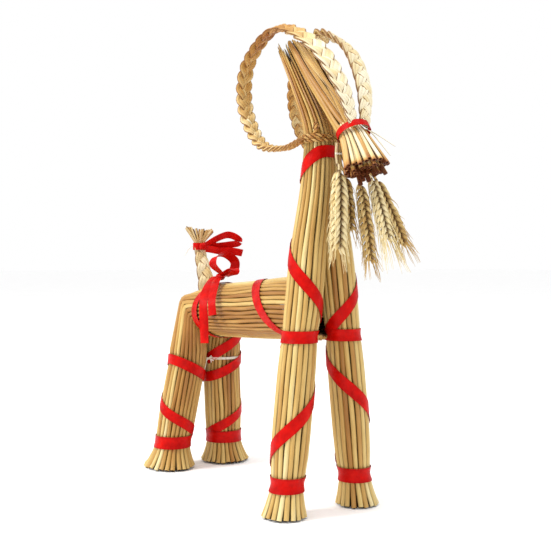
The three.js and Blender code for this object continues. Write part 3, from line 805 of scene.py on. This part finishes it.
def head_point(row, angle, share, inset):
    tilt = np.radians(row[..., 2])
    along = (row[..., 3] - inset) * share * np.cos(angle)
    y = (row[..., 4] - inset) * share * np.sin(angle)
    point = xyz(row[..., 0] + along * np.cos(tilt), y, row[..., 1] + along * np.sin(tilt))
    outward = xyz(np.cos(angle) * np.cos(tilt), np.sin(angle), np.cos(angle) * np.sin(tilt))
    return point, unit(outward)


def muzzle_straws(piece):
    """The fan of cut straws under the muzzle's tie."""
    for count, share, b in ((24, 1.0, 1.85), (18, 0.75, 1.8), (12, 0.5, 1.8), (6, 0.24, 1.8)):
        for k in range(count):
            places = np.linspace(rng.uniform(-0.34, 0.22), 4, 22)
            row = head_rows(MUZZLE, places)
            free = 1 - places / 4
            angle = (k + 0.5) / count * TAU + rng.uniform(-0.13, 0.13) * free
            angle = angle + wander(places, 0.02, 1.0)
            path, outward = head_point(row, angle, share + rng.uniform(-0.1, 0.14) * free, b)
            room = (row[:, 3] + row[:, 4] - 2 * b) / 2 * share * math.sin(math.pi / count)
            wide = np.clip(room * 1.04, 1.1, b)
            # paler over the top and front of the fan, a painted highlight, and darker underneath,
            # painted shade
            tone = np.clip(0.46 + 0.34 * math.cos(angle[0]) + rng.normal(0, 0.22), 0.05, 1)
            # each straw darker over the first millimetres of its cut end
            cut = {"hollow": (True, False), "darker_end": 0.75}
            straw(piece, path, outward, wide, b * 0.93, tone, **cut)


# the head from the muzzle's tie to the crown: x, z, tilt, radius in the tilt plane and across
HEAD = np.array([
    [118.6, 300.8, 33, 9.6, 9.8],
    [110, 309.5, 41, 8, 10],
    [95, 327, 41, 6.8, 10.8],
    [72, 354, 41, 5.6, 11.6],
    [50, 381, 41, 4.4, 10.6],
    [43, 389, 41, 4, 9.6],
])
# where each straw crosses the head at the tie and at the crown, how far up it ends, its layer, tone
# the straws of the lowest layers have darker tones, painted shade under the straws that cross over
# them
CROWN = (
    (-0.72, -0.95, 4.5, 0.0, 0.3),
    (-0.34, -0.55, 4.6, 0.1, 0.45),
    (0.05, -0.05, 4.4, 0.0, 0.25),
    (0.4, 0.45, 4.5, 0.1, 0.35),
    (0.74, 0.92, 4.3, 0.0, 0.3),
    (0.62, -0.7, 4.75, 1.6, 0.6),
    (0.2, -0.3, 4.5, 2.6, 0.45),
    (-0.56, 0.3, 4.6, 1.6, 0.55),
    (-0.1, 0.8, 4.4, 3.2, 0.7),
)


def crown_straws(piece):
    """Flattened straws from the muzzle's tie up over the crown, crossing on the way."""
    cut = {"hollow": (False, True)}
    for low, high, end, layer, tone in CROWN:
        places = np.linspace(0, end, 40)
        row = head_rows(HEAD, places)
        t = places / end
        over = low + (high - low) * (t * t * (3 - 2 * t))
        row[:, 3] += layer * np.sin(math.pi * np.clip(t * 1.1, 0, 1)) ** 0.5
        angle = np.arcsin(np.clip(over, -0.98, 0.98)) + wander(places, 0.03, 0.9)
        path, outward = head_point(row, angle, 1.0, 1.1)
        wide = np.interp(t, [0, 0.25, 0.8, 1], [1.9, 2.3, 2.0, 0.5])
        straw(piece, path, outward, wide, 1.15, tone, slant=4.0, sides=12, **cut)
    for k in range(9):
        row = head_rows(HEAD, np.linspace(0, rng.uniform(4.3, 4.9), 30))
        path, outward = head_point(row, np.full(len(row), math.pi + (k - 4) * 0.4), 1.0, 1.6)
        straw(piece, path, outward, 2.0, 1.6, rng.uniform(0.35, 0.65), slant=3.0, **cut)


fan = Piece()
muzzle_straws(fan)
for tip in ((149, 18, 290), (148, 14, 283), (147, -4, 284)):
    path = through([(124, tip[1] * 0.35, 305), (132, tip[1] * 0.6, 302), tip], 14)
    wide, deep = np.linspace(0.9, 0.35, 14), np.linspace(0.5, 0.25, 14)
    straw(fan, path, (0.5, 0, 0.86), wide, deep, 1.0, sides=6)
fan.make("muzzle_fan", "goat", "straw", ["head_bundle"], look="muzzle_straw")
crown = Piece()
crown_straws(crown)
crown.make("head_straws", "goat", "straw")


# ---- plaits ----
def plait(piece, points, widths, wide_ways, thick, tones, *, rings, phase, depth=1.25, pitch=1.9):
    """A flat three-strand plait; each strand is three flattened straws side by side."""
    path = through(points, rings)
    s = lengths(path)
    knots = lengths(np.asarray(points, float))
    width = smooth(knots / knots[-1], widths, s / s[-1])
    tangent = heading(path)
    way = square_to(tangent, smooth(knots / knots[-1], wide_ways, s / s[-1]))
    normal = np.cross(tangent, way)
    turns = np.concatenate([[0], np.cumsum(np.diff(s) * 2 / (width[1:] + width[:-1]))])
    turns = turns * TAU / pitch + phase
    u = np.linspace(-1, 1, 11)
    ridge = np.abs(np.cos(1.5 * math.pi * u)) ** 0.7
    top = (0.5 + 0.5 * ridge) * np.sqrt(np.clip(1 - 0.72 * u**4, 0.05, 1))
    outline = np.concatenate([np.stack([u, top], 1), np.stack([u[::-1], -top[::-1]], 1)])
    # painted shade in the creases between a strand's flattened straws
    crease_shade = np.concatenate([0.58 * (1 - ridge), 0.58 * (1 - ridge[::-1])])
    part = np.floor((outline[:, 0] + 1) * 1.499).astype(int)
    half = 0.255 * width
    for k in range(3):
        phi = turns + TAU * k / 3
        swing = np.arcsin(0.95 * np.sin(phi)) / math.asin(0.95)
        reach = width / 2 - half * 0.96
        centre = path + way * (reach * swing)[:, None] + normal * (depth * np.sin(2 * phi))[:, None]
        run = heading(centre)
        lean = 0.3 * np.cos(2 * phi)
        face = unit(normal * np.cos(lean)[:, None] + way * np.sin(lean)[:, None])
        across = unit(np.cross(run, face))
        face = np.cross(across, run)
        ring = centre[:, None] + across[:, None] * (half[:, None] * outline[None, :, 0])[..., None]
        ring = ring + face[:, None] * (thick / 2 * outline[None, :, 1])[..., None]
        tone = tones(s / s[-1])[:, None] + rng.normal(0, 0.05) + rng.normal(0, 0.09, 3)[part][None]
        tone = np.clip(tone + 0.06 * np.sin(phi * 1.5 + 2 * k)[:, None], 0, 1)
        # painted shade along a strand's edges as it crosses the middle of the plait, where its
        # neighbours shade it
        tuck_shade = 0.5 * np.abs(np.cos(phi)) ** 3
        edge = (np.abs(outline[:, 0]) > 0.95) * 1.0
        shade = np.clip(crease_shade[None] + tuck_shade[:, None] * edge[None], 0, 1)
        piece.tube(ring, tone, shade, s + rng.uniform(0, 300))


def horn_tones(side):
    """A painted highlight up the front, browner over the top and back, the left horn less so."""
    top, back = (0.75, 0.6) if side > 0 else (0.4, 0.12)
    levels = [1, 1, 0.85, top, back, 0.4, 0.62, 0.5, 0.15]
    return lambda t: np.interp(t, [0, 0.12, 0.24, 0.34, 0.46, 0.6, 0.75, 0.88, 1], levels)


for name, side in (("left", 1), ("right", -1)):
    horn = Piece()
    curve = HORN * np.array([1, side, 1])
    lean = HORN_LEAN * np.sin(math.pi * np.linspace(0, 1, len(HORN)))
    ways = xyz(0, side, -lean)
    plait(horn, curve, HORN_WIDTH, ways, 2.6, horn_tones(side), rings=230, phase=0.6 * side)
    horn.make(f"horn_plait_{name}", "goat", "plaited_straw", [f"horn_plait_{name}"])

tail = Piece()
flat = [(0, 1, 0)] * len(TAIL)
pale = lambda t: np.full(len(t), 0.8)
plait(tail, TAIL, TAIL_WIDTH, flat, 2.2, pale, rings=90, phase=0.9, depth=1.1, pitch=2.3)
tail.make("tail_plait", "goat", "plaited_straw", ["tail_plait"])


tuft = Piece()
for k in range(TUFT_STRAWS):
    spread = (k + 0.5) / TUFT_STRAWS * 2 - 1 + rng.uniform(-0.04, 0.04)
    layer = rng.uniform(-1, 1)
    top = 236.0 - 2.4 * min(spread, 0) + rng.uniform(-1.2, 0.6) - 1.5 * (abs(spread) > 0.85)
    foot = np.array([-126.8 + 2.2 * layer, 3.6 * spread, 214.0])
    waist = np.array([-127.0 + 2.2 * layer, 4.2 * spread, 221.0])
    tip = np.array([-126.2 + 3.6 * layer, 16.4 * spread, top])
    way = np.vstack([foot, waist, waist + (tip - waist) * 0.5 + [0, 0, 0.6], tip])
    # the painted shade of each straw lies on its side towards the middle of the tuft
    facing = (1 if layer > 0 else -1, 0, 0)
    wide, tone = [1.0] * 8 + [1.1, 0.7], rng.uniform(0.3, 0.75)
    straw(tuft, through(way, 10), facing, wide, 0.7, tone, sides=8, hollow=(False, False))
tuft.make("tail_tuft", "goat", "plaited_straw", ["tail_tuft"])


# ---- twines and the lashing ----
def twine(name, surface, place, rise=np.zeros_like):
    """Three turns of thread round a surface."""
    piece = Piece()
    angles = np.linspace(0, 3 * TAU, 180)
    places = place + np.linspace(-1, 1, len(angles)) * 0.8 + rise(angles)
    thread_along(piece, surface(places, angles, TWINE_R + 0.05), TWINE_R)
    piece.make(name, "goat", "thread", [name])


def twisted(piece, path, strand, pitch, tones):
    """Straws twisted round each other along a path, one for each tone."""
    tangent = heading(path)
    a = unit(np.cross(tangent, (0.2, 0.1, 0.97)))
    b = np.cross(tangent, a)
    for k, tone in enumerate(tones):
        phi = TAU * lengths(path) / pitch + TAU * k / len(tones)
        off = a * np.cos(phi)[:, None] + b * np.sin(phi)[:, None]
        straw(piece, path + off * strand * 0.9, off, strand * 1.25, strand, tone, sides=8)


for name, side in (("left", 1), ("right", -1)):
    twine(f"fore_ankle_twine_{name}", leg_surface(FORE, side), ANKLE_Z)
    twine(f"knee_twine_{name}", leg_surface(FORE, side), KNEE_Z)
    twine(f"hind_ankle_twine_{name}", leg_surface(HIND, side), ANKLE_Z)
twine("neck_twine", neck_surface, LASHING_Z)


def rump_rise(angle):
    return 2 * np.cos(angle) + 5 * np.cos(2 * angle)


twine("rump_twine", body_surface, RUMP_X, rump_rise)

lashing = Piece()
turn = np.linspace(0, 3 * TAU, 200)
heights = LASHING_Z - 2.6 + 5.2 * turn / turn[-1] + 0.5 * np.sin(turn * 1.3)
around = neck_surface(heights, turn + 1.2, 1.7 + 0.25 * np.sin(turn * 2.7))
twisted(lashing, around, 0.85, 9.0, (0.38, 0.12))
loose_end = through([(86, -14.5, 300), (88, -13, 305), (89, -12.2, 309), (88.6, -12.6, 313)], 24)
twisted(lashing, loose_end, 0.9, 7.0, (0.3, 0.05))
lashing.make("horn_lashing", "goat", "plaited_straw", ["horn_lashing"])

tie = Piece()
half = np.linspace(-62, 242, 60)
# the right leg's turn runs under its ribbon, and the left leg's stays level
under = HIND_TOP_DROP * np.sin(np.radians(half)) + HIND_TOP_Z - HIND_TIE_Z
under = np.interp(half, [-62, -40, 200, 242], [0, 1, 1, 0]) * under
for level in (-0.8, 0.0, 0.8):
    loop = []
    for side, drop in ((-1, under), (1, 0)):
        turn = np.radians(half if side < 0 else half[::-1])
        loop.append(leg_surface(HIND, side)(HIND_TIE_Z + level + drop, turn, 0.3))
    loop = np.vstack(loop)
    thread_along(tie, np.vstack([loop, loop[:1]]), 0.36)
crotch = np.array([-106.0, 0.0, HIND_TIE_Z + 0.5])
for k in range(9):
    way = np.array([rng.uniform(-0.4, 1), rng.uniform(-1, 1), rng.uniform(-0.9, 1)])
    reach = unit(way) * rng.uniform(2.5, 5.5)
    curl = np.cross(reach, [0, 0, 1]) * 0.3
    end = [crotch - reach * 0.2, crotch + reach * 0.5 + curl, crotch + reach]
    thread_along(tie, through(end, 9), 0.45)
tie.make("hind_twine", "goat", "thread", ["hind_twine"])


# ---- ribbons on the bundles ----
def ribbon(name, kind, *args, body="goat", **options):
    piece = Piece()
    kind(piece, *args, **options)
    piece.make(name, body, "red_ribbon", [name], sharp=60)


WOUND = {
    "chest": {"left": ((-98, 143.5), (218, 225.7)), "right": ((-70, 156.5), (218, 235.7))},
    "foreleg": {"left": ((-179, 137.4), (227, 34)), "right": ((-213, 137.4), (184, 34))},
    "hindleg": {"left": ((-100, 27.5), (242, 90)), "right": ((-80, 31), (242, 90))},
}
for name, side in (("left", 1), ("right", -1)):
    fore, hind = leg_surface(FORE, side), leg_surface(HIND, side)
    ribbon(f"fore_ankle_ribbon_{name}", band, fore, ANKLE_Z, ANKLE_RIBBON, out=0.9)
    ribbon(f"knee_ribbon_{name}", band, fore, KNEE_Z, out=0.9)
    ribbon(f"foreleg_ribbon_{name}", wound, fore, WOUND["foreleg"][name])
    ribbon(f"chest_ribbon_{name}", wound, fore, WOUND["chest"][name])
    ribbon(f"hind_ankle_ribbon_{name}", band, hind, ANKLE_Z, ANKLE_RIBBON, out=0.9)
    ribbon(f"hindleg_ribbon_{name}", wound, hind, WOUND["hindleg"][name])
    tilted = lambda a: HIND_TOP_DROP * np.sin(a)
    ribbon(f"hind_top_ribbon_{name}", band, hind, HIND_TOP_Z, rise=tilted, out=1.25, start=0.0)
ribbon("thigh_ribbon", wound, leg_surface(HIND, 1), ((-84, 106), (50, 133)))
ribbon("body_ribbon", wound, body_surface, ((-176, -81), (166, 60)))
ribbon("rump_ribbon", band, body_surface, RUMP_X, rise=rump_rise, out=0.9)
ribbon("neck_ribbon", band, neck_surface, NECK_Z, rise=lambda a: 11 * np.cos(a) - 3, out=0.6)


def muzzle_ring(place, angle, out):
    tilt = math.radians(MUZZLE_TIE[2])
    r1, r2 = (MUZZLE_TIE_R + out) * 0.965, MUZZLE_TIE_R + out
    along = r1 * np.cos(angle)
    x = MUZZLE_TIE[0] + along * math.cos(tilt) - place * math.sin(tilt)
    z = MUZZLE_TIE[1] + along * math.sin(tilt) + place * math.cos(tilt)
    return xyz(x, r2 * np.sin(angle), z)


ribbon("muzzle_ribbon", band, muzzle_ring, 0.0, 5.2, out=0.3, straws=14, sag=0.05)


# ---- bows ----
def knot(piece, at, half):
    """A tied knot: a rounded cushion with folds drawn round it."""
    rings = []
    turn = np.linspace(0, TAU, 28, endpoint=False)
    for t in np.linspace(-0.97, 0.97, 19):
        r = (1 - abs(t) ** 2.6) ** 0.5 * (1 + 0.05 * math.cos(t * 9))
        fold = 1 + 0.06 * np.sin(5 * turn + 2.5 * t)
        x = at[0] + half[0] * r * fold * np.cos(turn)
        rings.append(xyz(x, at[1] + half[1] * t, at[2] + half[2] * r * fold * np.sin(turn)))
    piece.tube(np.array(rings))


def strip(name, at, points, wides, width, body="goat"):
    ribbon(name, loop_strip, at + np.array(points, float), wides, width, body=body)


# each free piece's middle line from its bow, and the way that its width lies
UPRIGHT = [
    [0, 1, 3.4], [0, -8, 12], [0, -4, 20], [0, 6, 21.5], [0, 16, 15], [1, 14, 6], [1.5, 4.4, 1.6],
]
UPRIGHT_WIDE = [
    [1, 0.1, 0], [1, 0.3, 0.1], [0.9, 0.3, 0.5], [0.7, 0.6, 0.5], [0.5, 1, 0], [0.6, 0.8, 0],
]
LYING = [
    [5, -1, 0.2], [14, -2, 0.8], [24, -1, 2.8], [27, 1, 6], [22, 1, 8.2], [13, 0, 5], [5, 0, 1.6],
]
LONG_TAIL = [
    [0, -5.4, 0.2], [6, -14, -4.6], [13.5, -23, -13], [20, -29.5, -24], [24, -31, -41],
    [25, -31, -60],
]
SHORT_TAIL = [
    [7, -6.5, -0.8], [17, -15, -5.4], [26, -22.5, -12.5], [34, -28.5, -21.5], [38, -30, -34],
]
HANGING = (0.86, 0.5, 0)
ribbon("bow_knot", knot, BOW, (5.2, 4, 3.2))
strip("bow_loop_left", BOW, UPRIGHT, UPRIGHT_WIDE, 9.0)
strip("bow_loop_right", BOW, LYING, (0.25, 1, 0), 7.5)
strip("bow_tail_long", BOW, LONG_TAIL, HANGING, 9.0, "bow_tails")
strip("bow_tail_short", BOW, SHORT_TAIL, HANGING, 8.0, "bow_tails")

TAIL_BOW = np.array(TAIL_TIE)
loose = Piece()
thread = TAIL_BOW + np.array([[0, -6, 0.5], [-1, -9.5, -1], [-2, -13, -5.5], [-2.5, -15, -9]])
thread_along(loose, through(thread, 16), 0.4)
loose.make("tail_thread", "goat", "thread")
TAIL_LOOP = [
    [9, 3, 1], [16, 12, 8], [20, 22, 11.5], [23, 31, 8], [22, 33, 3.5], [18, 22, 1.6], [9, 5, -0.4],
]
TAIL_END = [[8, 3, -2], [16, 15, -4.6], [21, 26, -4.8], [24, 36, -6.6]]
strip("tail_bow_loop", TAIL_BOW, TAIL_LOOP, (0.5, -0.2, 1), 7.2)
strip("tail_bow_end", TAIL_BOW, TAIL_END, (0.3, -0.1, 1), 7.4)
ribbon("tail_bow_knot", knot, TAIL_BOW + [7.0, 1, 0], (2.8, 4.6, 3.6))


def tail_ring(place, angle, out):
    x = TAIL_BOW[0] + (4.6 + out) * np.cos(angle)
    return xyz(x, (6.3 + out) * np.sin(angle), TAIL_BOW[2] + place)


ribbon("tail_twine", band, tail_ring, 0.0, 7.0, out=0.4, turns=2.05, straws=8)


# ---- the beard of wheat ears ----
# along a husk, its share of the full thickness and what is added to its tone
HUSK = np.array([
    [0, 0.4, -0.15],
    [0.15, 0.85, -0.1],
    [0.4, 1, 0],
    [0.65, 0.84, 0.05],
    [0.85, 0.42, 0.1],
    [1, 0.06, 0.2],
])


def husk(piece, base, way, wide, length, half_w, half_d, tone):
    """A pointed oval body."""
    way = unit(way)
    wide = unit(wide - way * np.dot(wide, way))
    deep = np.cross(way, wide)
    turn = np.arange(7) / 7 * TAU
    section = half_w * np.cos(turn)[:, None] * wide + half_d * np.sin(turn)[:, None] * deep
    rings = [base + way * (length * t) + r * section for t, r, _ in HUSK]
    # painted shade at the base of each husk, where the husks below overlap it
    shades = 0.66 * (1 - HUSK[:, :1]) ** 1.8
    along = rng.uniform(0, 300) + np.linspace(0, length, len(HUSK))
    piece.tube(np.array(rings), np.clip(tone + HUSK[:, 2], 0, 1), shades, along)


def wheat_ear(index, stalk, neck, tip, size, pale):
    piece = Piece()
    a, b, c = (np.array(p, float) for p in (stalk, neck, tip))
    tied = a - [0, 0, 5.5]
    bend = (tied + b) / 2 - [0.8, 0, 0]
    stem = through([a + [0.6, 0, 5.5], a, tied, bend, b, b + (c - b) * 0.9], 44)
    thick = np.linspace(1.25, 0.9, 44)
    straw(piece, stem, (1, 0, 0), thick, thick, pale, sides=8)
    axis = unit(c - b)
    wide = unit(np.array([0.15, 1, 0]) - axis * np.dot([0.15, 1, 0], axis))
    deep = np.cross(axis, wide)
    count = int(np.linalg.norm(c - b) / HUSK_PITCH)
    long_awns = pale > 0.8 and index > 1
    for k in range(count):
        t = (k + 0.3) / count
        swell = math.sin(math.pi * (0.16 + 0.72 * t)) ** 0.6
        r = size * swell
        hand = 1 if k % 2 else -1
        for row, out, splay in ((-1, 0.1, 0.5), (1, 0.1, 0.5), (0, 0.16, 0.62)):
            base = b + (c - b) * t * 0.93 + wide * hand * r * out + deep * row * r * 0.3
            base = base - axis * 2.5
            way = axis + wide * hand * splay + deep * row * 0.2 + rng.normal(0, 0.04, 3)
            length = 10.2 * (0.75 + 0.25 * swell) * size / 7
            tone = np.clip(pale + rng.normal(0, 0.1), 0, 1)
            husk(piece, base, way, wide, length, 0.25 * r, 0.3 * r, tone)
            for _ in range(2 if row == 0 or t > 0.7 else 1):
                start = base + unit(way) * (length - 1)
                reach = rng.uniform(4, 8) + (20 * t if long_awns else 8 * t)
                end = start + unit(way * 0.6 + axis * 1.4 + rng.normal(0, 0.16, 3)) * reach
                end[0] = min(end[0], 166)
                middle = (start + end) / 2 + rng.normal(0, 0.5, 3)
                awn = through([start, middle, end], 8)
                thread_along(piece, awn, np.linspace(0.32, 0.1, 8), 5, tone)
    piece.make(f"wheat_ear_{index}", "beard", "wheat_ear", [f"wheat_ear_{index}"])


for index, ear in enumerate(EARS, 1):
    wheat_ear(index, *ear)

tie = Piece()
turn = np.linspace(0, TAU, 40)
for level in (-0.5, 0.0, 0.5):
    height = 287.2 + level + 0.2 * np.sin(2 * turn)
    thread_along(tie, xyz(107.5 + 2.0 * np.cos(turn), 7.2 * np.sin(turn), height), 0.3)
tie.make("beard_tie", "beard", "thread", ["beard_tie"])
